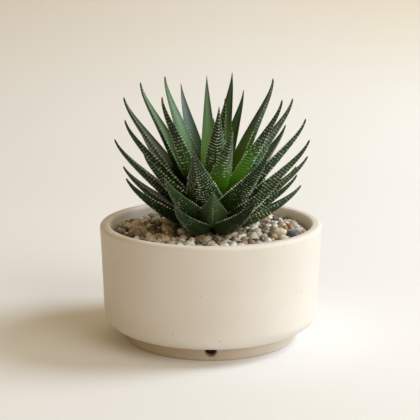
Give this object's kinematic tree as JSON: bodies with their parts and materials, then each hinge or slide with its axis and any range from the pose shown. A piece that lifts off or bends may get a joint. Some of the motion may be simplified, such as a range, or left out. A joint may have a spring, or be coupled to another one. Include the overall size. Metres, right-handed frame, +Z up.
{
  "type": "potted haworthia",
  "caption": "Small rosette succulent with tapering, keeled, white-banded leaves, in a round matt stoneware pot topped with gravel.",
  "frame": {"origin": "centre of the pot's foot ring, on the surface that the pot stands on", "axes": "+Z up along the pot's axis; -Y is the front, where the weep hole in the foot is; +X is the viewer's right"},
  "size_m": [0.12, 0.12, 0.1416],
  "materials": {
    "stoneware": "matt unglazed cream stoneware with fine speckle",
    "soil": "dark loose potting soil",
    "gravel": "mixed smooth river pebbles, cream, tan, grey and brown",
    "stem": "pale green fleshy stem, brown where it enters the soil",
    "leaf": "deep green satin skin with rows of white tubercles on the outer face"
  },
  "bodies": {
    "root": {"pot": "stoneware", "soil": "soil", "gravel": "gravel", "stem": "stem", "leaf_01": "leaf", "leaf_02": "leaf", "leaf_03": "leaf", "leaf_04": "leaf", "leaf_05": "leaf", "leaf_06": "leaf", "leaf_07": "leaf", "leaf_08": "leaf", "leaf_09": "leaf", "leaf_10": "leaf", "leaf_11": "leaf", "leaf_12": "leaf", "leaf_13": "leaf", "leaf_14": "leaf", "leaf_15": "leaf", "leaf_16": "leaf", "leaf_17": "leaf", "leaf_18": "leaf", "leaf_19": "leaf", "leaf_20": "leaf", "leaf_21": "leaf", "leaf_22": "leaf", "leaf_23": "leaf", "leaf_24": "leaf", "leaf_25": "leaf", "leaf_26": "leaf", "leaf_27": "leaf", "leaf_28": "leaf", "leaf_29": "leaf", "leaf_30": "leaf", "leaf_31": "leaf", "leaf_32": "leaf", "leaf_33": "leaf", "leaf_34": "leaf", "leaf_35": "leaf", "leaf_36": "leaf", "leaf_37": "leaf", "leaf_38": "leaf", "leaf_39": "leaf", "leaf_40": "leaf", "leaf_41": "leaf", "leaf_42": "leaf"}
  },
  "joints": []
}
